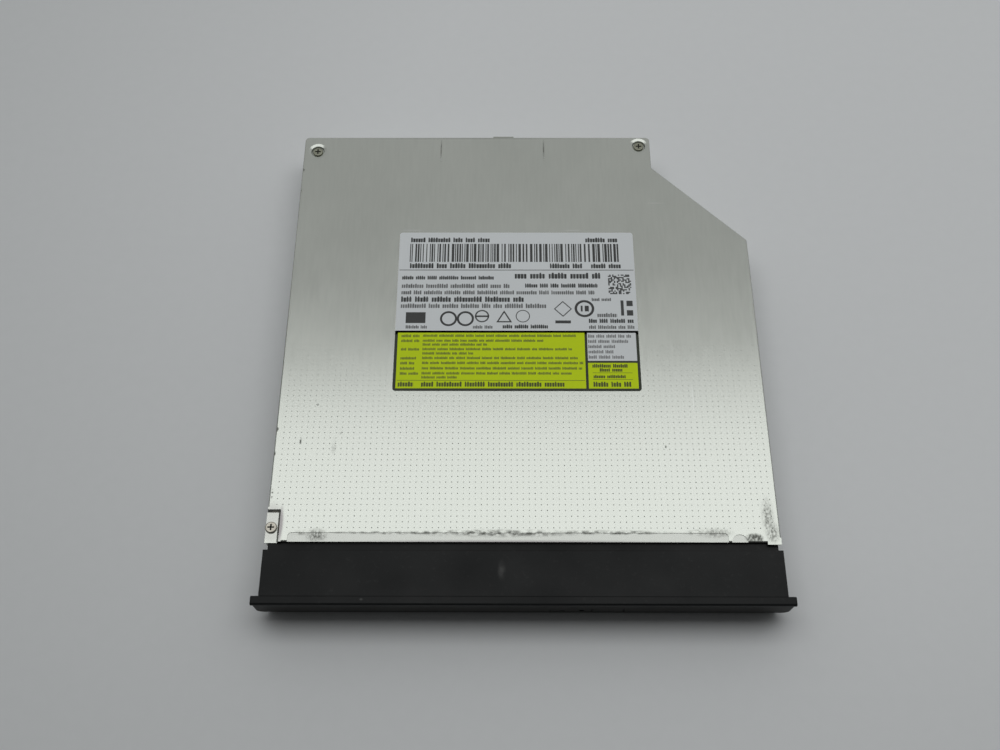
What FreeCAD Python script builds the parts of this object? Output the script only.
import FreeCAD, Part
import math
import os

# Slim tray-loading disc drive for a laptop, 12.7 mm high, with its deep front bezel.
# Millimetres. X to the right, Y to the rear, Z up.
# The origin is on the underside, at the middle of the case's width and depth.

V = FreeCAD.Vector
UP = V(0, 0, 1)

# Steel case
case_width = 128.0
case_depth = 126.1
case_height = 12.7
sheet = 0.5
shell_gap = 0.1
corner_round = 1.2
bend_round = 0.4
cover_setback = 0.5
skirt_height = 5.5
lower_wall_height = 11.0
wing_width = 25.6
wing_rise = 3.5
notch_depth = 11.1
corner_cut = 25.3

# Front edge of the cover
front_lip_depth = 2.35
front_lip_drop = 0.15
front_lip_left_inset = 5.5
front_lip_right_inset = 13.0
front_lip_corner = 1.0
front_dimple_inset = 10.2
front_dimple_radius = 2.0
end_strip_width = 3.4
end_strip_reach = 0.6
rear_bump_x = -5.0
rear_bump_width = 6.0
rear_bump_depth = 0.55
rear_bump_height = 2.8

# Screwed tab at the cover's front left corner
tab_width = 2.75
tab_length = 8.3
tab_drop = 0.8
tab_wall_run = 0.6
tab_wall_width = 0.25
tab_reach = 0.2
tab_setback = 0.35
tab_screw_x_inset = 1.15
tab_screw_y = 4.3
tab_boss_length = 11.0

# Screws of the cover
screw_head_radius = 1.6
screw_head_height = 0.55
screw_shank_radius = 0.85
screw_hole_radius = 0.9
screw_length = 3.0
cross_width = 0.4
cross_length = 1.7
cross_depth = 0.3
dimple_top_radius = 2.7
dimple_step_radius = 1.95
dimple_step_depth = 0.22
dimple_seat_radius = 1.7
dimple_depth = 0.7
left_dimple_x_inset = 4.0
left_dimple_y_inset = 5.2
right_dimple_x_inset = 3.3
right_dimple_y_inset = 3.2
post_radius = 1.6

# Printed label on the cover
label_width = 66.0
label_depth = 50.0
label_thickness = 0.1
label_center_x = -1.3
label_rear_inset = 34.1
label_corner = 0.8

# Bracket screw holes in the rear wall, M2
bracket_hole_radius = 0.8
bracket_hole_spacing = 20.0
bracket_inset = 18.0
bracket_hole_z = 4.9
bracket_collar_radius = 1.5
bracket_collar_depth = 1.0

# Disc and the well for it
case_depth_margin = 0.95
disc_side_inset = 4.0
disc_clearance = 0.6
small_disc_inset = 18.8
disc_center_y = -0.55
disc_seat_z = 8.5
deck_bottom = 7.1
deck_thickness = 0.8
small_well_depth = 0.3
rim_top = 11.6
rim_wall = 1.4
tray_wall = 1.8
tray_side_gap = 2.7
tray_front_overhang = 0.3
tray_underside = 1.6
tray_right_reach = 1.8
inner_clearance = 0.35
tray_skin = 1.2
rail_bar_lift = 0.15
thin_wall_lift = 0.35
rear_rib_y = 28.0
rear_rib_thickness = 1.6
rear_rib_inset = 26.4
side_rib_thickness = 1.0
side_rib_spots = (-44.0, -22.0, 0.0, 22.0)

# Telescopic rails
guide_wall = 0.6
guide_flange = 0.5
guide_reach = 2.2
rail_clearance = 0.1
rail_width = 3.8
left_rail_height = 3.8
right_rail_height = 1.6
left_guide_bottom = 1.6
right_guide_lift = 0.1
rail_front_inset = 2.4
left_rail_rear_inset = 8.0
right_rail_rear_inset = 38.0
groove_depth = 2.0
groove_wall = 1.0
rail_edge = 1.2
rail_land = 6.0
rail_relief = 0.5

# Front bezel
bezel_lip_half_width = 66.1
bezel_lip_overhang = 1.9
bezel_gap = 1.6
bezel_depth = 11.6
bezel_flange_inset = 0.9
bezel_flange_drop = 1.1
bezel_wall = 1.5
bezel_underside = 0.6
bezel_rib_count = 7
bezel_rib_thickness = 0.9
face_thickness = 1.65
face_bottom = 2.6
face_lean = 0.35
lip_reach = 0.55
lip_thickness = 0.85
lip_round = 0.5
bezel_crown = 0.05
face_corner = 2.0
groove_line_depth = 0.15
groove_line_width = 0.3
clip_width = 5.0
clip_height = 1.2
clip_lift = 1.9
clip_reach = 2.6
clip_spots = (-46.0, -8.0, 46.0)

# Eject button, lamp and emergency hole in the bezel
button_inset = 17.3
button_z = 4.7
button_width = 7.8
button_height = 2.2
button_gap = 0.2
button_travel = 0.6
button_flange = 0.9
stem_width = 3.0
stem_height = 1.6
lamp_offset = 12.6
lamp_width = 3.4
lamp_height = 1.4
emergency_offset = 6.5
emergency_radius = 0.65
switch_setback = 3.4

# Pickup unit, laid along a line from the spindle to the front left corner
pickup_bearing = 225.0
chassis_bottom = 2.0
chassis_thickness = 0.8
rod_radius = 1.0
rod_z = 4.6
main_rod_offset = 19.5
second_rod_offset = -17.5
screw_line_offset = 24.0
pickup_inner_radius = 24.0
pickup_end_margin = 4.8
bearing_clearance = 0.03
sled_bottom = 3.0
sled_top = 6.6
lens_radius = 2.3
lens_top = 7.7
trim_thickness = 0.3
motor_radius = 2.4
motor_length = 14.0
motor_front = 20.0
rod_near = 9.0
rod_seat = 1.5
sleeve_half = 1.8
holder_bottom = 5.0
holder_top = 7.0
pickup_near_end = 19.0
pickup_low_side = 17.0
pickup_high_side = 19.0
pickup_slot_half = 5.6
pickup_slot_margin = 0.6
hub_opening_margin = 1.8

# Rubber spools and shoulder screws under the chassis
damper_side_inset = 10.54
damper_near_end = 12.0
damper_other_near_end = 11.0
damper_high_side = 21.5
damper_far_side = 13.0
damper_low_side = 18.0
damper_corner_side = 12.8
damper_radius = 2.4
damper_waist = 2.1
damper_flange = 0.5
damper_bore = 1.2
damper_boss_radius = 1.9
damper_screw_radius = 0.6

# Spindle motor and disc hub
rotor_radius = 12.0
rotor_bottom = 3.0
rotor_top = 7.3
shaft_radius = 1.0
sleeve_radius = 2.6
stator_radius = 9.6
stator_poles = 9
turntable_radius = 13.4
turntable_bottom = 7.4
hub_radius = 7.4
hub_top = 10.9
claw_count = 3
claw_width = 2.4
claw_reach = 0.2
claw_travel = 0.6
claw_length = 2.6
claw_height = 1.2
claw_lift = 0.5
rubber_thickness = 0.3

# Rear board with its connector, ribbon socket and chips
board_thickness = 0.8
rear_board_z = 1.6
rear_board_left_inset = 14.0
rear_board_right_inset = 5.9
rear_board_rear_inset = 3.4
rear_board_depth = 24.65
board_screw_radius = 0.8
board_collar_radius = 2.2
board_chips_table = (
    (0.267, 0.446, 12.0, 12.0, 1.2),
    (0.485, 0.406, 8.0, 6.0, 1.0),
    (0.776, 0.426, 12.0, 9.0, 1.0),
)
port_inset = 6.4
port_width = 30.0
port_top = 6.6
port_depth = 8.0
port_wall = 1.2
port_roof = 0.6
port_floor = 0.5
port_mouth = 5.5
port_key = 12.0
tongue_thickness = 1.2
cable_inset = 6.0
cable_width = 17.0
cable_thickness = 0.1
cable_floor_z = 0.55
cable_upper_z = 1.25
cable_tray_reach = 11.0
cable_slack = 2.0
tray_travel = 124.0
socket_side = 1.5
socket_depth = 4.5
socket_height = 1.6
socket_foot = 2.4

# Control board, latch and its holding magnet
control_board_z = 1.7
control_right_inset = 4.9
control_inner_inset = 9.2
control_ear_depth = 4.45
control_side = 33.0
control_post_radius = 1.3
control_chips_table = ((0.28, 0.53, 8.0, 7.0, 1.0), (0.10, 0.72, 5.0, 5.0, 0.9))
control_posts_table = ((0.08, 0.86), (0.636, 0.193))
latch_pin_radius = 1.0
latch_pin_inset = 3.2
latch_pin_depth = 9.05
latch_pin_top = 5.0
latch_pivot_inset = 7.4
latch_pivot_depth = 5.75
latch_bottom = 2.8
latch_thickness = 1.2
latch_hook_gap = 0.2
magnet_offset_y = 7.3

# Stiffening channels pressed up into the floor of the pan
channel_rise = 0.3
channel_width = 9.0
channel_length = 64.0
channel_corner = 2.2
channel_cable_gap = 8.5
channel_step_gap = 30.0

left = -case_width / 2
right = case_width / 2
front = -case_depth / 2
rear = case_depth / 2
ceiling = case_height - sheet
step_x = right - wing_width
notch_y = rear - notch_depth
cut_y = notch_y - corner_cut
wall_inset = sheet + shell_gap
inner_inset = wall_inset + sheet
floor_top = sheet
wing_top = wing_rise + sheet
cover_front = front + cover_setback
skirt_bottom = case_height - skirt_height
front_lip_left = left + front_lip_left_inset
front_lip_right = right - front_lip_right_inset
front_dimple_x = right - front_dimple_inset
tab_top = case_height - tab_drop
tab_inner_x = left + tab_width
tab_rear_y = front + tab_length
tab_boss_rear = front + tab_boss_length
tab_screw = (left + tab_screw_x_inset, front + tab_screw_y)
left_dimple = (left + left_dimple_x_inset, rear - left_dimple_y_inset)
right_dimple = (step_x - right_dimple_x_inset, rear - right_dimple_y_inset)
seat_z = case_height - dimple_depth
tray_front = front + tray_front_overhang
tray_left = left + inner_inset + tray_side_gap
tray_deep_right = step_x - inner_inset - 2 * inner_clearance
deck_top = deck_bottom + deck_thickness
square_half = min(right, rear + case_depth_margin)
disc_radius = square_half - disc_side_inset
well_radius = disc_radius + disc_clearance
small_well_radius = disc_radius - small_disc_inset
rim_radius = well_radius + rim_wall
left_guide_top = left_guide_bottom + 2 * guide_flange + left_rail_height + 2 * rail_clearance
right_guide_bottom = wing_top + right_guide_lift
left_rail_rear = rear - left_rail_rear_inset
right_rail_rear = rear - right_rail_rear_inset
bezel_half_width = bezel_lip_half_width - bezel_lip_overhang
bezel_back = front - bezel_gap
bezel_front = bezel_back - bezel_depth
face_front = bezel_front - face_thickness
clip_z = deck_bottom + clip_lift
spindle = V(0, disc_center_y, 0)

button_x = step_x - button_inset
lamp_x = button_x - lamp_offset
emergency_x = button_x - emergency_offset
switch_front = tray_front + switch_setback
bracket_center_x = left + bracket_inset
bracket_hole_xs = (bracket_center_x - bracket_hole_spacing / 2, bracket_center_x + bracket_hole_spacing / 2)
board_left = left + rear_board_left_inset
board_right = step_x - rear_board_right_inset
board_rear = rear - rear_board_rear_inset
board_front = board_rear - rear_board_depth
board_top = rear_board_z + board_thickness
port_right = step_x - port_inset
port_left = port_right - port_width
cable_left = board_left + cable_inset
cable_right = cable_left + cable_width
cable_case_y = board_front + 1.0
cable_tray_y = board_front - cable_tray_reach
cable_fold_y = cable_tray_y - (tray_travel + cable_slack) / 2

chassis_top = chassis_bottom + chassis_thickness
damper_far_end = (square_half - damper_side_inset) * math.sqrt(2) - damper_corner_side
damper_spots = (
    (-damper_near_end, damper_high_side),
    (damper_far_end, damper_far_side),
    (-damper_other_near_end, -damper_low_side),
    (damper_far_end, -damper_corner_side),
)
pickup_travel = damper_far_end - pickup_end_margin - pickup_inner_radius
main_rod_far = damper_far_end - 0.8
second_rod_far = damper_far_end - 2.3
lead_screw_end = damper_far_end - 4.2
claw_bottom = disc_seat_z + claw_lift
claw_top = claw_bottom + claw_height
claw_root = hub_radius - claw_length

control_top = control_board_z + board_thickness
control_front = tray_front + tray_wall + 2 * shell_gap
control_right = step_x - control_right_inset
control_inner = step_x - control_inner_inset
control_rear = disc_center_y + control_inner - control_side * math.sqrt(2)
latch_pin_spot = (step_x - latch_pin_inset, front + latch_pin_depth)
latch_pivot_spot = (step_x - latch_pivot_inset, front + latch_pivot_depth)


def block(x0, x1, y0, y1, z0, z1):
    return Part.makeBox(x1 - x0, y1 - y0, z1 - z0, V(x0, y0, z0))


def disc(radius, z0, z1, x=0.0, y=0.0):
    return Part.makeCylinder(radius, z1 - z0, V(x, y, z0), UP)


def bar(radius, start, end):
    """A round bar from one point to another."""
    return Part.makeCylinder(radius, (end - start).Length, start, end - start)


def corner_arc(corner, before, after, radius):
    """First, middle and last point of the arc that rounds a corner."""
    to_before = (before - corner).normalize()
    to_after = (after - corner).normalize()
    half_angle = to_before.getAngle(to_after) / 2
    setback = radius / math.tan(half_angle)
    inward = (to_before + to_after).normalize()
    middle = corner + inward * (radius / math.sin(half_angle) - radius)
    return corner + to_before * setback, middle, corner + to_after * setback


def prism(corners, z0, z1, radius=0.0):
    """Upright solid on a polygon in plan, with every corner rounded by the radius."""
    points = [V(x, y, z0) for x, y in corners]
    count = len(points)
    edges = []
    ends = []
    for i, corner in enumerate(points):
        if radius > 0:
            first, middle, last = corner_arc(corner, points[i - 1], points[(i + 1) % count], radius)
            edges.append(Part.Arc(first, middle, last).toShape())
            ends.append((first, last))
        else:
            ends.append((corner, corner))
    for i in range(count):
        start = ends[i][1]
        finish = ends[(i + 1) % count][0]
        edges.append(Part.makeLine(start, finish))
    wire = Part.Wire(Part.__sortEdges__(edges))
    return Part.Face(wire).extrude(V(0, 0, z1 - z0))


def plan_box(x0, x1, y0, y1, z0, z1, radius):
    return prism([(x0, y0), (x1, y0), (x1, y1), (x0, y1)], z0, z1, radius)


def fuse_all(shapes):
    whole = shapes[0].multiFuse(shapes[1:]) if len(shapes) > 1 else shapes[0]
    return whole.removeSplitter()


def cut_all(shape, tools):
    return shape.cut(Part.makeCompound(tools))


def along_pickup(shape):
    """Turns and moves a shape drawn from the spindle along +X onto the pickup's line."""
    placed = shape.copy()
    placed.rotate(V(0, 0, 0), UP, pickup_bearing)
    placed.translate(spindle)
    return placed


def case_outline(inset, front_y):
    """Corners of the case in plan, moved in by the inset, with the rear right corner cut off."""
    slope = corner_cut / wing_width
    drop = inset * math.hypot(corner_cut, wing_width) / wing_width
    side = right - inset
    step = step_x - inset
    return [
        (-side, front_y),
        (side, front_y),
        (side, cut_y + (right - side) * slope - drop),
        (step, cut_y + (right - step) * slope - drop),
        (step, rear - inset),
        (-side, rear - inset),
    ]


def dimple(x, y):
    """Dish pressed into the cover round a screw: the metal under it, and the hollow above."""
    step_z = case_height - dimple_step_depth
    metal = Part.makeCone(
        dimple_seat_radius + sheet, dimple_top_radius + sheet, dimple_depth, V(x, y, seat_z - sheet), UP
    )
    deep = Part.makeCone(dimple_seat_radius, dimple_step_radius, step_z - seat_z, V(x, y, seat_z), UP)
    shallow = Part.makeCone(dimple_step_radius, dimple_top_radius, dimple_step_depth, V(x, y, step_z), UP)
    return metal, deep.fuse(shallow)


def sloped_corner(x1, y1, low, high):
    """Block over the front left corner whose right and rear sides lean outwards as they rise."""
    run = tab_wall_run * (high - low) / tab_drop
    wires = []
    for z, lean in ((low, 0.0), (high, run)):
        x0, y0 = left - 2 * sheet, front - 2 * sheet
        x2, y2 = x1 + lean, y1 + lean
        wires.append(Part.makePolygon([V(x0, y0, z), V(x2, y0, z), V(x2, y2, z), V(x0, y2, z), V(x0, y0, z)]))
    return Part.makeLoft(wires, True, True)


def dropped_tab():
    """Shelf with the screw's seat, the leaning walls round it, and the space above it."""
    space = sloped_corner(tab_inner_x, tab_rear_y, tab_top, case_height + sheet)
    x1 = tab_inner_x + tab_wall_width
    walls = sloped_corner(x1, tab_rear_y + tab_wall_width, tab_top - sheet, case_height)
    walls = walls.common(block(left, right, cover_front, rear, 0, case_height)).cut(space)
    shelf = block(left - tab_reach, x1, front + tab_setback, tab_rear_y, tab_top - sheet, tab_top)
    return space, walls.fuse(shelf)


def upper_case():
    """Folded cover: flat top, skirts on every side but the front, and one dropped tab."""
    shell = prism(case_outline(0, cover_front), skirt_bottom, case_height, corner_round)
    top_edges = [e for e in shell.Edges if e.BoundBox.ZMin > case_height - 0.01]
    bent_edges = [e for e in top_edges if e.BoundBox.YMax > cover_front + 1]
    shell = shell.makeFillet(bend_round, bent_edges)
    hollow = prism(case_outline(sheet, front - sheet), skirt_bottom - sheet, ceiling, corner_round - sheet)
    mouth_rear = cover_front + corner_round
    mouth = block(left - sheet, right + sheet, front - sheet, mouth_rear, skirt_bottom, ceiling)
    mouth = mouth.common(prism(case_outline(sheet, front - sheet), skirt_bottom - sheet, ceiling))
    cover = shell.cut(hollow).cut(mouth)

    y0, y1 = cover_front - 2 * front_lip_corner, cover_front + front_lip_depth
    lip = plan_box(front_lip_left, front_lip_right, y0, y1, ceiling, case_height, front_lip_corner)
    pressed = lip.fuse(disc(front_dimple_radius, ceiling, case_height, front_dimple_x, cover_front))
    pressed = pressed.common(block(left, right, cover_front, rear, 0, case_height))
    lowered = pressed.copy()
    lowered.translate(V(0, 0, -front_lip_drop))
    cover = cover.cut(pressed).fuse(lowered)

    strip_left = right - end_strip_width
    strip = block(strip_left, right, cover_front - end_strip_reach, mouth_rear, ceiling, case_height)
    bump_low = case_height - bend_round - rear_bump_height
    bump = block(
        rear_bump_x - rear_bump_width / 2, rear_bump_x + rear_bump_width / 2,
        rear - sheet, rear + rear_bump_depth, bump_low, case_height - bend_round,
    )
    cover = cover.fuse([strip, bump])

    space, tab = dropped_tab()
    skirt_gap = block(left - sheet, left + sheet, front - sheet, tab_rear_y, skirt_bottom - sheet, tab_top)
    cover = cover.cut(space).cut(skirt_gap).fuse(tab)

    hollows = [disc(screw_hole_radius, tab_top - 2 * sheet, tab_top + sheet, *tab_screw)]
    for x, y in (left_dimple, right_dimple):
        metal, hollow = dimple(x, y)
        cover = cover.fuse(metal)
        hollows += [hollow, disc(screw_hole_radius, seat_z - 2 * sheet, case_height, x, y)]
    return cut_all(cover, hollows).removeSplitter()


def wing_space(inset, low, high):
    """The part of the case's outline that lies right of the step, between two heights."""
    region = prism(case_outline(inset, front), low, high)
    return region.common(block(step_x - inset, right, front, rear, low, high))


def lower_case():
    """Folded pan: deep floor, raised floor of the wing, walls inside the cover's skirts."""
    outer = prism(case_outline(wall_inset, front), 0, lower_wall_height, corner_round)
    outer = outer.cut(block(left, right, front - sheet, front + shell_gap * 4, -sheet, case_height))
    hollow = prism(case_outline(inner_inset, front - sheet), floor_top, case_height)
    pan = outer.cut(hollow)
    pan = pan.cut(block(step_x - wall_inset, right, front - sheet, rear, -sheet, wing_rise))
    floor = wing_space(wall_inset + sheet, wing_rise, wing_top)
    floor = floor.cut(block(left, right, front - sheet, front + shell_gap * 4, 0, case_height))
    step_front = front + shell_gap * 4
    step = block(step_x - inner_inset, step_x - wall_inset, step_front, notch_y, 0, wing_top)
    pan = pan.fuse([floor, step])

    inner_face = rear - inner_inset
    relief_x = left + inner_inset + shell_gap
    wall_relief = block(left, relief_x, front, tab_boss_rear + shell_gap, left_guide_top, case_height)
    x0, x1 = port_left - shell_gap, port_right + shell_gap
    port = block(x0, x1, inner_face - sheet, rear, floor_top, port_top + shell_gap)
    pan = pan.cut(wall_relief).cut(port)

    collars = []
    holes = []
    for x in bracket_hole_xs:
        back = V(x, inner_face, bracket_hole_z)
        depth = V(0, bracket_collar_depth, 0)
        collars.append(bar(bracket_collar_radius, back - depth, back))
        holes.append(bar(bracket_hole_radius, back - depth * 2, V(x, rear, bracket_hole_z)))
    for x, y in board_screw_spots():
        collars.append(disc(board_collar_radius, floor_top, rear_board_z, x, y))
        holes.append(disc(board_screw_radius, floor_top, board_top, x, y))
    for x in (cable_right + channel_cable_gap, step_x - channel_step_gap):
        x0, x1 = x - channel_width / 2, x + channel_width / 2
        y0, y1 = -channel_length / 2, channel_length / 2
        collars.append(plan_box(x0, x1, y0, y1, floor_top, floor_top + channel_rise, channel_corner))
        x0, x1, y0, y1 = x0 + channel_rise, x1 - channel_rise, y0 + channel_rise, y1 - channel_rise
        holes.append(plan_box(x0, x1, y0, y1, 0, channel_rise, channel_corner - channel_rise))
    pan = pan.fuse(collars)
    return cut_all(pan, holes).removeSplitter()


def board_screw_spots():
    """Places of the three screws, near the rear board's corners."""
    return (
        (board_left + 4.0, board_front + 12.0),
        (board_left + 0.364 * (board_right - board_left), board_rear - 2.65),
        (board_right - 4.5, board_front + 5.0),
    )


def pan_head_screw(x, y, seat, head_radius):
    """Small cross-head screw, standing on its seat with the shank below."""
    head = disc(head_radius, seat, seat + screw_head_height, x, y)
    rim = [e for e in head.Edges if e.BoundBox.ZMin > seat + screw_head_height / 2]
    head = head.makeFillet(screw_head_height * 0.6, rim)
    shank = disc(screw_shank_radius, seat - screw_length, seat, x, y)
    top = seat + screw_head_height
    long_half, short_half = cross_length / 2, cross_width / 2
    slot = block(x - long_half, x + long_half, y - short_half, y + short_half, top - cross_depth, top)
    crossed = slot.copy()
    crossed.rotate(V(x, y, 0), UP, 90)
    return head.fuse(shank).cut(slot.fuse(crossed))


def cover_screws():
    spots = [(*left_dimple, seat_z), (*right_dimple, seat_z), (*tab_screw, tab_top)]
    return Part.makeCompound([pan_head_screw(x, y, z, screw_head_radius - 0.1) for x, y, z in spots])


def cover_posts():
    """Tapped posts riveted to the floor, which take the two rear screws."""
    posts = []
    for x, y in (left_dimple, right_dimple):
        post = disc(post_radius, floor_top, seat_z - sheet, x, y)
        bore = disc(screw_hole_radius, seat_z - sheet - screw_length, seat_z, x, y)
        posts.append(post.cut(bore))
    return Part.makeCompound(posts)


def label_sheet():
    x0 = label_center_x - label_width / 2
    y1 = rear - label_rear_inset
    return plan_box(
        x0, x0 + label_width, y1 - label_depth, y1, case_height, case_height + label_thickness, label_corner
    )


def rail_guide(side, low, rail_height, rear_end):
    """Channel moulding on the case's wall, open towards the tray."""
    wall_x = right - inner_inset - shell_gap
    y0 = front + sheet
    high = low + 2 * guide_flange + rail_height + 2 * rail_clearance
    x0 = wall_x - guide_reach
    channel = block(x0, wall_x, y0, rear_end, low, high)
    slot = block(x0, wall_x - guide_wall, y0, rear_end, low + guide_flange, high - guide_flange)
    guide = channel.cut(slot)
    if side < 0:
        guide = guide.mirror(V(0, 0, 0), V(1, 0, 0))
        x0, x1 = left + wall_inset, tab_inner_x + tab_wall_width
        y0 += shell_gap
        boss_top = tab_top - sheet
        boss = block(x0, x1, y0, tab_boss_rear, high, boss_top)
        cheek = block(left, x0, y0, tab_rear_y - shell_gap, high + shell_gap, boss_top)
        bore = disc(screw_hole_radius, tab_top - screw_length - sheet, tab_top, *tab_screw)
        guide = guide.fuse([boss, cheek]).cut(bore)
    return guide.removeSplitter()


def slide_rail(side, low, rail_height, rear_end):
    """Flat bar between the case's guide and the tray's groove, with a stop at each end."""
    outer_x = right - inner_inset - shell_gap - guide_wall - rail_clearance
    z0 = low + guide_flange + rail_clearance
    y0 = front + rail_front_inset
    rail = block(outer_x - rail_width, outer_x, y0, rear_end, z0, z0 + rail_height)
    z1 = z0 + rail_height
    x0, x1 = outer_x - rail_width + rail_edge, outer_x - rail_edge
    relief = block(x0, x1, y0 + rail_land, rear_end - rail_land, z1 - rail_relief, z1)
    rail = rail.cut(relief)
    if side < 0:
        rail = rail.mirror(V(0, 0, 0), V(1, 0, 0))
    return rail


def sata_connector():
    """Shrouded plug with two tongues, open to the rear."""
    y1 = rear - shell_gap
    body = block(port_left, port_right, y1 - port_depth, y1, board_top, port_top)
    x0, x1 = port_left + port_wall, port_right - port_wall
    cavity = block(x0, x1, y1 - port_mouth, y1, board_top + port_floor, port_top - port_roof)
    body = body.cut(cavity)
    low = (board_top + port_top - tongue_thickness) / 2
    high = low + tongue_thickness
    split = port_left + port_key
    back, tip = y1 - port_mouth - shell_gap, y1 - 0.8
    signal = block(x0 + 1.0, split, back, tip, low, high)
    power = block(split + 1.8, x1 - 1.0, back, tip, low, high)
    return body.fuse([signal, power]).removeSplitter()


def interface_board():
    """Fixed board at the rear of the case."""
    board = plan_box(board_left, board_right, board_front, board_rear, rear_board_z, board_top, sheet)
    hole_radius = board_screw_radius + shell_gap
    holes = [disc(hole_radius, rear_board_z - 1, board_top + 1, x, y) for x, y in board_screw_spots()]
    return cut_all(board, holes)


def board_screws():
    screws = []
    for x, y in board_screw_spots():
        head = disc(1.7, board_top, board_top + 0.6, x, y)
        screws.append(head.fuse(disc(board_screw_radius - 0.05, floor_top + 0.1, board_top, x, y)))
    return Part.makeCompound(screws)


def chip(x, y, width, depth, base, height):
    """Moulded package on a board, centred on a spot."""
    x0, y0 = x - width / 2, y - depth / 2
    return plan_box(x0, x0 + width, y0, y0 + depth, base, base + height, 0.3)


def board_chips():
    chips = []
    for share_x, share_y, width, depth, height in board_chips_table:
        x = board_left + share_x * (board_right - board_left)
        y = board_front + share_y * (board_rear - board_front)
        chips.append(chip(x, y, width, depth, board_top, height))
    return Part.makeCompound(chips)


def flex_cable():
    """Flat ribbon: out along the floor, folded once, back under the tray."""
    mid_z = (cable_floor_z + cable_upper_z + cable_thickness) / 2
    outer = mid_z - cable_floor_z
    inner = outer - cable_thickness
    floor_z, upper_z = cable_floor_z, cable_upper_z
    lower = block(cable_left, cable_right, cable_fold_y, cable_case_y, floor_z, floor_z + cable_thickness)
    upper = block(cable_left, cable_right, cable_fold_y, cable_tray_y, upper_z, upper_z + cable_thickness)
    centre = V(cable_left, cable_fold_y, mid_z)
    across = V(1, 0, 0)
    width = cable_right - cable_left
    fold = Part.makeCylinder(outer, width, centre, across)
    fold = fold.cut(Part.makeCylinder(inner, width, centre, across))
    fold = fold.common(block(cable_left, cable_right, cable_fold_y - 1, cable_fold_y, 0, 3))
    return fuse_all([lower, upper, fold])


def cable_socket():
    """Socket on the fixed board, with a foot before it that comes down on the ribbon."""
    x0, x1 = cable_left - socket_side, cable_right + socket_side
    foot_front = board_front - socket_foot
    top = board_top + socket_height
    body = block(x0, x1, foot_front, board_front + socket_depth, board_top, top)
    foot_low = cable_floor_z + cable_thickness + shell_gap / 2
    foot = block(x0, x1, foot_front, board_front - shell_gap, foot_low, top)
    return fuse_all([body, foot])


def latch_pin():
    """Steel pin riveted to the floor, which the latch catches."""
    return disc(latch_pin_radius, floor_top, latch_pin_top, *latch_pin_spot)


def groove_bar(side, low, high, bottom, rear_end):
    """Edge of the tray that runs on a rail: a bar with a groove on its outer side."""
    outer_x = -tray_left
    slot_x = outer_x - groove_depth
    bar_solid = block(slot_x - groove_wall, outer_x, tray_front, rear_end, bottom, deck_bottom)
    bar_solid = bar_solid.cut(block(slot_x, outer_x, tray_front + tray_wall, rear_end, low, high))
    if side < 0:
        return bar_solid.mirror(V(0, 0, 0), V(1, 0, 0))
    return bar_solid


def pickup_plan(inset, z0, z1, limit):
    """Outline shared by the opening in the deck, its trim plate and the seat for it."""
    far = damper_far_end - damper_waist + 0.3 - inset
    low_side, high_side = inset - pickup_low_side, pickup_high_side - inset
    plan = plan_box(inset - pickup_near_end, far, low_side, high_side, z0, z1, 3.0)
    return plan.common(disc(limit, z0, z1))


def lens_slot(z0, z1):
    half = pickup_slot_half + pickup_slot_margin
    far = pickup_inner_radius + pickup_travel + half - 0.4
    return plan_box(0, far, -half, half, z0, z1, 2.0)


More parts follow.
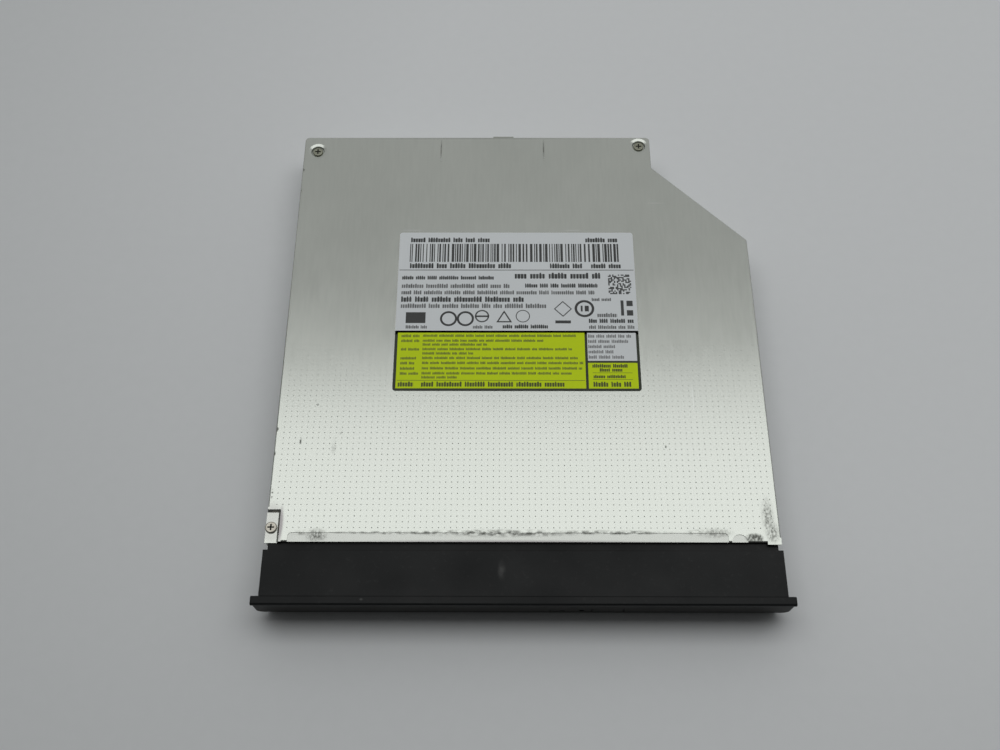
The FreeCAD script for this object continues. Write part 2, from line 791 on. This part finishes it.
def tray_frame():
    """Moulded tray: deck with the disc well, front wall, and grooved edges for the rails."""
    y_side = disc_center_y
    upper = block(tray_left, -tray_left + tray_right_reach, tray_front, y_side, deck_bottom, rim_top)
    round_part = disc(rim_radius, deck_bottom, rim_top, 0, disc_center_y)
    round_part = round_part.common(block(tray_left, right, front, rear, deck_bottom, rim_top))
    upper = upper.fuse(round_part)

    wells = [
        disc(well_radius, deck_top, rim_top + 1, 0, disc_center_y),
        disc(small_well_radius, deck_top - small_well_depth, rim_top, 0, disc_center_y),
    ]
    x0, x1 = tray_left + tray_skin, -tray_left + tray_right_reach - tray_skin
    y0 = tray_front + tray_wall
    under = block(x0, x1, y0, y_side - tray_skin, deck_bottom - 1, rim_top - 1.0)
    under = under.cut(disc(well_radius + tray_skin, 0, case_height, 0, disc_center_y))
    upper = cut_all(upper, wells).cut(under)

    x_deep = tray_deep_right
    front_deep = block(tray_left, x_deep, tray_front, y0, tray_underside, deck_bottom)
    front_thin = block(x_deep, -tray_left, tray_front, y0, wing_top + thin_wall_lift, deck_bottom)
    left_low = left_guide_bottom + guide_flange
    left_high = left_low + left_rail_height + 2 * rail_clearance
    left_bar = groove_bar(-1, left_low, left_high, tray_underside, left_rail_rear)
    right_low = right_guide_bottom + guide_flange
    right_high = right_low + right_rail_height + 2 * rail_clearance
    right_bar = groove_bar(1, right_low, right_high, wing_top + rail_bar_lift, right_rail_rear)
    rear_rib = block(
        tray_left + groove_depth, step_x - rear_rib_inset, rear_rib_y, rear_rib_y + rear_rib_thickness,
        tray_underside, deck_bottom,
    )
    ribs = []
    z0 = deck_bottom - tray_skin
    for y in side_rib_spots:
        ribs.append(block(x_deep + 2, -tray_left - groove_depth, y, y + side_rib_thickness, z0, deck_bottom))
    bosses = []
    for s, c in damper_spots:
        under_rim = math.hypot(s, c) > well_radius
        boss_top = rim_top - 1.0 if under_rim else deck_bottom
        bosses.append(along_pickup(disc(damper_boss_radius, chassis_top + damper_flange, boss_top, s, c)))
    tray = fuse_all([upper, front_deep, front_thin, left_bar, right_bar, rear_rib] + ribs + bosses)

    hole_line = V(emergency_x, 0, button_z)
    cuts = [
        along_pickup(pickup_plan(2.0, deck_bottom - 1, deck_top + 1, well_radius - 3.6)),
        along_pickup(pickup_plan(-0.15, deck_top - trim_thickness, deck_top, well_radius - 1.1)),
        along_pickup(lens_slot(deck_bottom - 1, deck_top + 0.7)),
        along_pickup(disc(turntable_radius + hub_opening_margin, deck_bottom - 1, deck_top + 1)),
        opening(button_x, stem_width, stem_height, button_gap, tray_front - 1, tray_front + 3),
        opening(lamp_x, lamp_width, lamp_height, shell_gap, tray_front - 1, tray_front + 3),
        bar(emergency_radius + shell_gap, hole_line + V(0, tray_front - 1, 0), hole_line + V(0, y0 + 1, 0)),
    ]
    for s, c in damper_spots:
        cuts.append(along_pickup(disc(damper_screw_radius, chassis_bottom, deck_bottom - 1.0, s, c)))
    for x in clip_spots:
        cuts.append(clip_shape(x, 0.15))
    return cut_all(tray, cuts).removeSplitter()


def opening(x, width, height, margin, y0, y1):
    """Square passage from front to rear at the button's height, grown by a margin."""
    half_width, half_height = width / 2 + margin, height / 2 + margin
    return block(x - half_width, x + half_width, y0, y1, button_z - half_height, button_z + half_height)


def clip_shape(x, margin):
    """Tongue of the bezel that snaps through the tray's front wall, grown by a margin."""
    half = clip_width / 2 + margin
    y1 = tray_front + clip_reach + margin
    return block(x - half, x + half, tray_front, y1, clip_z - margin, clip_z + clip_height + margin)


def front_bezel():
    """Deep moulded front: a hollow box open below, a wider face plate and a raised lip."""
    top = case_height
    flange_half = bezel_half_width - bezel_flange_inset
    shell = block(-bezel_half_width, bezel_half_width, bezel_front, bezel_back, bezel_underside, top)
    hollow = block(
        -bezel_half_width + bezel_wall, bezel_half_width - bezel_wall, bezel_front, bezel_back - bezel_wall,
        bezel_underside - 1, top - bezel_wall,
    )
    shell = shell.cut(hollow)
    flange_top = top - bezel_flange_drop
    flange = block(-flange_half, flange_half, bezel_back, tray_front, wing_top + thin_wall_lift, flange_top)
    inside_half = flange_half - tray_skin
    flange_inside = block(-inside_half, inside_half, bezel_back, tray_front - 0.9, 0, flange_top - tray_skin)
    flange = flange.cut(flange_inside)
    lower_flange = block(tray_left, tray_deep_right, bezel_back, tray_front, tray_underside, wing_top + 0.4)

    face = Part.Face(face_plate_section()).extrude(V(2 * bezel_lip_half_width, 0, 0))
    face.translate(V(-bezel_lip_half_width, 0, 0))
    face = face.common(rounded_front(bezel_lip_half_width, face_bottom, top + face_corner + sheet))

    pitch = 2 * (bezel_half_width - bezel_wall) / (bezel_rib_count + 1)
    ribs = []
    for i in range(bezel_rib_count):
        x0 = -bezel_half_width + bezel_wall + pitch * (i + 1) - bezel_rib_thickness / 2
        x1 = x0 + bezel_rib_thickness
        ribs.append(block(x0, x1, bezel_front, bezel_back, bezel_underside + 3, top - bezel_wall))
    y1 = bezel_front + 0.2
    front_wall = block(-bezel_half_width, bezel_half_width, bezel_front, y1, bezel_underside + 0.6, top)
    bezel = fuse_all([shell, flange, lower_flange, face, front_wall] + ribs)

    y0 = face_front - lip_reach - 1
    y1 = tray_front + 1
    rebate = button_gap + button_flange
    line_y = bezel_front - groove_line_width
    cuts = [
        opening(button_x, button_width, button_height, button_gap, y0, bezel_front + 1),
        opening(button_x, button_width, button_height, rebate, bezel_front, bezel_front + 3.5),
        opening(button_x, stem_width, stem_height, button_gap, bezel_front, y1),
        opening(lamp_x, lamp_width, lamp_height, shell_gap, y0, y1),
        bar(emergency_radius, V(emergency_x, y0, button_z), V(emergency_x, y1, button_z)),
        block(
            -bezel_lip_half_width, bezel_lip_half_width, line_y, line_y + groove_line_width,
            top - groove_line_depth, top + bezel_crown,
        ),
    ]
    bezel = cut_all(bezel, cuts)
    return bezel.fuse([clip_shape(x, 0) for x in clip_spots]).removeSplitter()


def rounded_front(half_width, z0, z1):
    """Block round the face plate whose corners, seen from the front, are rounded."""
    flat = plan_box(-half_width, half_width, z0, z1, 0, bezel_depth, face_corner)
    flat.rotate(V(0, 0, 0), V(1, 0, 0), 90)
    flat.translate(V(0, bezel_front + bezel_depth / 2, 0))
    return flat


def face_plate_section():
    """Section of the face plate and its lip, whose top front edge is rounded."""
    crest = case_height + bezel_crown
    y_lip, z_lip = face_front - lip_reach, case_height - lip_thickness
    before, after = V(0, y_lip, crest - lip_round), V(0, y_lip + lip_round, crest)
    first, middle, last = corner_arc(V(0, y_lip, crest), before, after, lip_round)
    straight = Part.makePolygon([
        last,
        V(0, bezel_front, crest),
        V(0, bezel_front, face_bottom),
        V(0, face_front + face_lean, face_bottom),
        V(0, face_front, z_lip),
        V(0, y_lip, z_lip),
        first,
    ])
    return Part.Wire(straight.Edges + [Part.Arc(first, middle, last).toShape()])


def eject_button():
    """Cap in the face plate, a flange behind it, and a stem to the switch."""
    y_cap = face_front + face_lean * 0.8
    y_flange = bezel_front + 0.15
    cap = prism_at(button_x, button_z, button_width, button_height, y_cap, y_flange)
    flange = opening(button_x, button_width, button_height, button_flange, y_flange, y_flange + 0.8)
    stem = opening(button_x, stem_width, stem_height, 0, y_flange, switch_front - button_travel - 0.05)
    return fuse_all([cap, flange, stem])


def prism_at(x, z, width, height, y0, y1):
    """Bar along Y with a rounded rectangular section."""
    flat = plan_box(x - width / 2, x + width / 2, z - height / 2, z + height / 2, 0, y1 - y0, height * 0.3)
    flat.rotate(V(0, 0, 0), V(1, 0, 0), 90)
    flat.translate(V(0, y1, 0))
    return flat


def indicator_light_pipe():
    """Clear bar that carries the lamp's light from the board to the face."""
    return prism_at(lamp_x, button_z, lamp_width, lamp_height, face_front + face_lean, switch_front)


def control_board():
    """Board under the tray's front right corner, beside the pickup unit."""
    y0 = control_front
    y_ear = front + control_ear_depth
    x0 = y0 - disc_center_y + control_side * math.sqrt(2)
    x1, x2 = control_inner, control_right
    corners = [(x0, y0), (x2, y0), (x2, y_ear), (x1, y_ear), (x1, control_rear)]
    return prism(corners, control_board_z, control_top)


def on_control_board(share_x, share_y):
    """Place on the control board, as shares of its depth from the inner edge and from the front."""
    depth = control_rear - control_front
    return control_inner - share_x * depth, control_front + share_y * depth


def control_board_posts():
    """Posts between the deck and the control board."""
    posts = []
    for shares in control_posts_table:
        posts.append(disc(control_post_radius, control_top, deck_bottom, *on_control_board(*shares)))
    return Part.makeCompound(posts)


def control_chips():
    chips = []
    for share_x, share_y, width, depth, height in control_chips_table:
        x, y = on_control_board(share_x, share_y)
        chips.append(chip(x, y, width, depth, control_top, height))
    return Part.makeCompound(chips)


def eject_switch():
    """Push switch on the board's front edge, right behind the button's stem."""
    y0, y1 = switch_front + 0.6, switch_front + 4.0
    body = block(button_x - 3.0, button_x + 3.0, y0, y1, control_top, button_z + 1.6)
    plunger = opening(button_x, 2.0, 1.4, 0, switch_front, y0 + shell_gap)
    return body.fuse(plunger).removeSplitter()


def latch_solenoid():
    """Holding magnet for the latch: a coil on a core between two cheeks."""
    top = control_top
    x, y = latch_pivot_spot[0], latch_pivot_spot[1] + magnet_offset_y
    z = top + 1.9
    coil = bar(1.6, V(x - 11.3, y, z), V(x - 5.3, y, z))
    core = bar(0.8, V(x - 12.5, y, z), V(x - 4.1, y, z))
    cheeks = [block(x + dx, x + dx + 0.8, y - 1.9, y + 1.9, top, top + 3.7) for dx in (-12.1, -5.3)]
    yoke = block(x - 12.1, x - 4.5, y - 1.2, y + 1.2, top, top + 0.35)
    return fuse_all([coil, core, yoke] + cheeks)


def latch_pivot():
    """Post under the deck that the latch turns on."""
    stem = disc(0.8, latch_bottom - 0.1, deck_bottom, *latch_pivot_spot)
    collar = disc(1.5, latch_bottom + latch_thickness + 0.1, deck_bottom, *latch_pivot_spot)
    return stem.fuse(collar).removeSplitter()


def latch_lever():
    """Flat lever whose hook stands behind the case's pin."""
    px, py = latch_pivot_spot
    pin_x, pin_y = latch_pin_spot
    hook_y = pin_y + latch_pin_radius + latch_hook_gap
    corners = [
        (px - 1.6, py + 1.0),
        (px + 1.4, py + 1.2),
        (px + 1.4, hook_y),
        (pin_x + 0.2, hook_y),
        (pin_x - 1.2, hook_y + 2.6),
        (px - 0.9, hook_y + 2.6),
    ]
    arm = prism(corners, latch_bottom, latch_bottom + latch_thickness)
    eye = disc(1.9, latch_bottom, latch_bottom + latch_thickness, px, py)
    y0 = py + magnet_offset_y - 2.4
    armature = block(px - 1.4, px - 0.4, y0, y0 + 4.6, latch_bottom, latch_bottom + 2.6)
    lever = fuse_all([arm, eye, armature])
    return lever.cut(disc(0.85, 0, case_height, px, py))


def traverse_chassis():
    """Pressed plate under the pickup, with ears for the rods and a hole for the motor."""
    s0, s1 = -damper_near_end - 4.0, damper_far_end + 3.2
    c0, c1 = -damper_low_side - 3.0, screw_line_offset + 2.5
    corners = [
        (s0, c0), (s1 + 14.0 + c0, c0), (s1, -14.0), (s1, 18.0), (s1 + 18.0 - c1, c1), (s0, c1),
    ]
    plate = prism(corners, chassis_bottom, chassis_top, 0.8)
    window_low, window_high = second_rod_offset + 4.0, main_rod_offset - 3.5
    window = plan_box(16.5, s1 - 10.0, window_low, window_high, 0, chassis_top + 1, 2.0)
    motor_hole = disc(rotor_radius - 0.5, 0, chassis_top + 1)
    feed_hole = block(motor_front - motor_length - 1, motor_front + 1, 20.6, 27, 0, chassis_top + 1)
    holes = [window, motor_hole, feed_hole]
    for s, c in damper_spots:
        holes.append(disc(damper_waist + 0.1, 0, chassis_top + 1, s, c))
    plate = cut_all(plate, holes)
    ears = []
    rods = []
    for c, far in ((main_rod_offset, main_rod_far), (second_rod_offset, second_rod_far)):
        rods.append(bar(rod_radius, V(rod_near, c, rod_z), V(far, c, rod_z)))
        for s in (rod_near, far - rod_seat):
            ears.append(block(s, s + rod_seat, c - 1.6, c + 1.6, chassis_top, rod_z + 1.5))
    return along_pickup(cut_all(plate.fuse(ears), rods).removeSplitter())


def guide_rod(offset, far):
    return along_pickup(bar(rod_radius, V(rod_near, offset, rod_z), V(far, offset, rod_z)))


def damper_bushes():
    """Rubber spools that carry the chassis."""
    bushes = []
    for s, c in damper_spots:
        low = chassis_bottom - damper_flange
        high = chassis_top + damper_flange
        waist = disc(damper_waist, low, high, s, c)
        lower_flange = disc(damper_radius, low, chassis_bottom, s, c)
        upper_flange = disc(damper_radius, chassis_top, high, s, c)
        spool = waist.fuse([lower_flange, upper_flange]).cut(disc(damper_bore, 0, high + 1, s, c))
        bushes.append(along_pickup(spool.removeSplitter()))
    return Part.makeCompound(bushes)


def chassis_screws():
    """Shoulder screws through the spools into the tray's bosses."""
    screws = []
    for s, c in damper_spots:
        low = chassis_bottom - damper_flange
        head = disc(2.0, low - 0.4, low, s, c)
        shoulder = disc(damper_bore - 0.05, low, chassis_top + damper_flange, s, c)
        shank = disc(damper_screw_radius - 0.05, low, deck_bottom - 1.5, s, c)
        slot = block(s - 0.9, s + 0.9, c - 0.2, c + 0.2, low - 0.4, low - 0.15)
        screws.append(along_pickup(fuse_all([head, shoulder, shank]).cut(slot)))
    return Part.makeCompound(screws)


def feed_motor():
    face = V(motor_front, screw_line_offset, rod_z)
    body = bar(motor_radius, face - V(motor_length, 0, 0), face)
    nose = bar(1.3, face, face + V(0.3, 0, 0))
    return along_pickup(body.fuse(nose).removeSplitter())


def feed_bracket():
    """Bent strip that holds the feed motor at one end and the screw's tip at the other."""
    s0 = motor_front + 0.3
    s1 = lead_screw_end + 0.9
    c = screw_line_offset
    base = block(s0, s1, c - 1.8, c + 1.8, chassis_top, chassis_top + 0.4)
    near_ear = block(s0, s0 + 0.6, c - 1.8, c + 1.8, chassis_top, rod_z + 1.8)
    far_ear = block(s1 - 0.8, s1, c - 1.4, c + 1.4, chassis_top, rod_z + 1.4)
    bracket = fuse_all([base, near_ear, far_ear])
    bore = bar(rod_radius + 0.05, V(s0 - 1, c, rod_z), V(s1 - 1, c, rod_z))
    tip = bar(0.55, V(s1 - 1, c, rod_z), V(s1, c, rod_z))
    return along_pickup(bracket.cut(bore).cut(tip))


def lead_screw():
    c = screw_line_offset
    shaft = bar(rod_radius, V(motor_front + 0.35, c, rod_z), V(lead_screw_end, c, rod_z))
    tip = bar(0.5, V(lead_screw_end - 0.2, c, rod_z), V(lead_screw_end + 0.7, c, rod_z))
    return along_pickup(shaft.fuse(tip).removeSplitter())


def trim_plate():
    """Thin black plate over the pickup unit, with the slot that the lens runs in."""
    low = deck_top - trim_thickness
    plate = pickup_plan(0, low, deck_top, well_radius - 1.3)
    plate = plate.cut(disc(turntable_radius + hub_opening_margin, 0, case_height))
    plate = plate.cut(lens_slot(0, case_height))
    return along_pickup(plate)


def pickup_body():
    """Cast sled: bearings on the main rod, a fork on the second, hollow for the lens unit."""
    s = pickup_inner_radius
    core = plan_box(s - 10.0, s + 9.0, -9.0, 9.0, sled_bottom, sled_top, 1.0)
    body = plan_box(s - 12.0, s + 2.0, -15.4, 17.4, sled_bottom, sled_top, 0.8)
    sled = core.fuse(body)
    near, far = s - 12.0, s + 2.5
    sleeve = block(near, far, main_rod_offset - 2.2, main_rod_offset + sleeve_half, sled_bottom, sled_top)
    fork = block(s - 8.0, s + 0.0, second_rod_offset - 2.2, -15.0, sled_bottom, sled_top)
    sled = sled.fuse([sleeve, fork])
    bearing = rod_radius + bearing_clearance
    bore = bar(bearing, V(near - 1, main_rod_offset, rod_z), V(far + 1, main_rod_offset, rod_z))
    c = second_rod_offset
    fork_slot = block(s - 9, s + 1, c - 3, c + bearing, rod_z - bearing, rod_z + bearing)
    crescent = disc(rotor_radius + 1.6, 0, case_height)
    pocket = plan_box(s - 6.2, s + 6.2, -6.4, 6.4, sled_bottom + 0.8, sled_top + 1, 0.8)
    side_pocket = plan_box(s - 7.5, s - 0.5, 8.2, 15.6, sled_bottom + 0.8, sled_top + 1, 0.6)
    other_pocket = plan_box(s - 7.5, s - 0.5, -14.2, -8.2, sled_bottom + 0.8, sled_top + 1, 0.6)
    cuts = [bore, fork_slot, crescent, pocket, side_pocket, other_pocket]
    return along_pickup(cut_all(sled, cuts).removeSplitter())


def rack_follower():
    """Plastic finger on the sled that rides in the lead screw's thread."""
    s = pickup_inner_radius
    c = screw_line_offset
    root = block(s - 2.2, s + 0.4, main_rod_offset + sleeve_half, c + 0.2, rod_z + 1.15, sled_top)
    tooth = block(s - 1.8, s + 0.0, c - 0.9, c + 0.9, rod_z + 1.08, rod_z + 1.5)
    return along_pickup(root.fuse(tooth).removeSplitter())


def laser_diode():
    """Laser can and its heat spreader in the sled's side pocket."""
    s = pickup_inner_radius
    can = bar(1.3, V(s - 5.0, 9.0, sled_bottom + 2.3), V(s - 5.0, 13.0, sled_bottom + 2.3))
    flange = bar(1.4, V(s - 5.0, 13.0, sled_bottom + 2.3), V(s - 5.0, 14.2, sled_bottom + 2.3))
    plate = block(s - 7.0, s - 3.0, 14.2, 15.2, sled_bottom + 0.8, sled_top - 0.2)
    return along_pickup(fuse_all([can, flange, plate]))


def lens_magnets():
    """Two magnets on their yoke, either side of the moving lens holder."""
    s = pickup_inner_radius
    base = sled_bottom + 0.8
    yoke = plan_box(s - 5.8, s + 5.8, -6.0, 6.0, base, base + 0.4, 0.6)
    cheeks = [block(s + d, s + d + 1.4, -4.0, 4.0, base, sled_top + 0.3) for d in (-5.6, 4.2)]
    return along_pickup(fuse_all([yoke] + cheeks))


def lens_holder():
    """Small moulded carrier with its focus coil, hung between the magnets."""
    s = pickup_inner_radius
    body = plan_box(s - 3.6, s + 3.6, -4.4, 4.4, holder_bottom, holder_top, 0.8)
    ring = disc(lens_radius + 0.7, holder_top, lens_top - 0.2, s, 0)
    bore = disc(lens_radius - 0.5, holder_bottom, lens_top, s, 0)
    seat = disc(lens_radius, holder_top - 0.2, lens_top, s, 0)
    return along_pickup(fuse_all([body, ring]).cut(bore).cut(seat))


def objective_lens():
    """Domed glass lens, seated in the holder's ring."""
    s = pickup_inner_radius
    low = holder_top - 0.2
    rise = lens_top - 0.25 - low
    sphere_radius = (lens_radius ** 2 + rise ** 2) / (2 * rise)
    ball = Part.makeSphere(sphere_radius, V(s, 0, low + rise - sphere_radius))
    return along_pickup(ball.common(disc(lens_radius, low, lens_top, s, 0)))


def spindle_base():
    """Motor base under the chassis, with the bearing sleeve that holds the shaft."""
    plate = disc(rotor_radius + 2.4, chassis_bottom - 0.4, chassis_bottom)
    sleeve = disc(sleeve_radius, chassis_bottom - 0.7, rotor_top - 1.2)
    bore = disc(shaft_radius + bearing_clearance, chassis_bottom - 0.3, rotor_top)
    return along_pickup(fuse_all([plate, sleeve]).cut(bore))


def spindle_stator():
    """Stack of poles with a winding on each."""
    low, high = chassis_bottom + 0.6, rotor_top - 2.2
    hub = disc(sleeve_radius + 1.6, low, high).cut(disc(sleeve_radius, low, high))
    poles = []
    for i in range(stator_poles):
        arm = block(sleeve_radius + 1.2, stator_radius, -0.5, 0.5, low + 0.5, high - 0.5)
        winding = block(sleeve_radius + 2.2, stator_radius - 1.2, -1.1, 1.1, low, high)
        shoe = block(stator_radius - 0.8, stator_radius, -1.9, 1.9, low + 0.5, high - 0.5)
        pole = arm.fuse([winding, shoe])
        pole.rotate(V(0, 0, 0), UP, 360.0 * i / stator_poles)
        poles.append(pole)
    return along_pickup(fuse_all([hub] + poles))


def spindle_rotor():
    """Steel cup on the motor shaft."""
    cup = disc(rotor_radius, rotor_bottom, rotor_top)
    inside = disc(rotor_radius - 1.6, rotor_bottom, rotor_top - 0.7)
    shaft = disc(shaft_radius, chassis_bottom - 0.1, rotor_top)
    rim = [e for e in cup.Edges if e.BoundBox.ZMin > rotor_top - 0.01]
    cup = cup.makeFillet(0.5, rim)
    return along_pickup(cup.cut(inside).fuse(shaft).removeSplitter())


def turntable_hub():
    """Turntable and centring boss, with a pocket for each claw."""
    seat = disc_seat_z - rubber_thickness
    table = disc(turntable_radius, turntable_bottom, seat)
    boss = disc(hub_radius, seat, hub_top)
    crown = [e for e in boss.Edges if e.BoundBox.ZMin > hub_top - 0.01]
    boss = boss.makeFillet(0.9, crown)
    dish = disc(3.2, hub_top - 0.6, hub_top)
    foot = disc(shaft_radius + 3, rotor_top, turntable_bottom)
    hub = fuse_all([table, boss, foot]).cut(dish)
    pockets = []
    for i in range(claw_count):
        half = claw_width / 2 + 0.1
        pocket = block(claw_root - 0.1, hub_radius + 1, -half, half, claw_bottom - 0.1, claw_top + 0.1)
        pocket.rotate(V(0, 0, 0), UP, 360.0 * i / claw_count)
        pockets.append(pocket)
    return along_pickup(cut_all(hub, pockets))


def rubber_ring():
    low = disc_seat_z - rubber_thickness
    ring = disc(turntable_radius - 0.3, low, disc_seat_z).cut(disc(hub_radius + 2.2, low, disc_seat_z))
    return along_pickup(ring)


def hub_claw(index):
    """Sprung claw that holds the disc's inner edge, with a rounded nose."""
    x0, x1 = claw_root + claw_travel, hub_radius + claw_reach
    flat = plan_box(x0, x1, claw_bottom, claw_top, 0, claw_width, 0.3)
    flat.rotate(V(0, 0, 0), V(1, 0, 0), 90)
    flat.translate(V(0, claw_width / 2, 0))
    flat = flat.common(disc(x1, claw_bottom, claw_top))
    flat.rotate(V(0, 0, 0), UP, 360.0 * index / claw_count)
    return along_pickup(flat)


def save(name, shape):
    shape.exportStep("parts/" + name + ".step")
    print(name, "solids", len(shape.Solids), "valid", shape.isValid(), "volume", round(shape.Volume, 3))


def build():
    os.makedirs("parts", exist_ok=True)
    save("upper_case", upper_case())
    save("lower_case", lower_case())
    save("cover_screws", cover_screws())
    save("cover_posts", cover_posts())
    save("label_sheet", label_sheet())
    save("left_rail_guide", rail_guide(-1, left_guide_bottom, left_rail_height, left_rail_rear))
    save("right_rail_guide", rail_guide(1, right_guide_bottom, right_rail_height, right_rail_rear))
    save("left_rail", slide_rail(-1, left_guide_bottom, left_rail_height, left_rail_rear))
    save("right_rail", slide_rail(1, right_guide_bottom, right_rail_height, right_rail_rear))
    save("interface_board", interface_board())
    save("board_screws", board_screws())
    save("board_chips", board_chips())
    save("sata_connector", sata_connector())
    save("cable_socket", cable_socket())
    save("flex_cable", flex_cable())
    save("latch_pin", latch_pin())
    save("tray_frame", tray_frame())
    save("front_bezel", front_bezel())
    save("eject_button", eject_button())
    save("indicator_light_pipe", indicator_light_pipe())
    save("control_board", control_board())
    save("control_board_posts", control_board_posts())
    save("control_chips", control_chips())
    save("eject_switch", eject_switch())
    save("latch_solenoid", latch_solenoid())
    save("latch_pivot", latch_pivot())
    save("latch_lever", latch_lever())
    save("traverse_chassis", traverse_chassis())
    save("main_guide_rod", guide_rod(main_rod_offset, main_rod_far))
    save("second_guide_rod", guide_rod(second_rod_offset, second_rod_far))
    save("damper_bushes", damper_bushes())
    save("chassis_screws", chassis_screws())
    save("feed_motor", feed_motor())
    save("feed_bracket", feed_bracket())
    save("lead_screw", lead_screw())
    save("trim_plate", trim_plate())
    save("pickup_body", pickup_body())
    save("rack_follower", rack_follower())
    save("laser_diode", laser_diode())
    save("lens_magnets", lens_magnets())
    save("lens_holder", lens_holder())
    save("objective_lens", objective_lens())
    save("spindle_base", spindle_base())
    save("spindle_stator", spindle_stator())
    save("spindle_rotor", spindle_rotor())
    save("turntable_hub", turntable_hub())
    save("rubber_ring", rubber_ring())
    for index in range(claw_count):
        save("hub_claw_" + str(index + 1), hub_claw(index))


build()
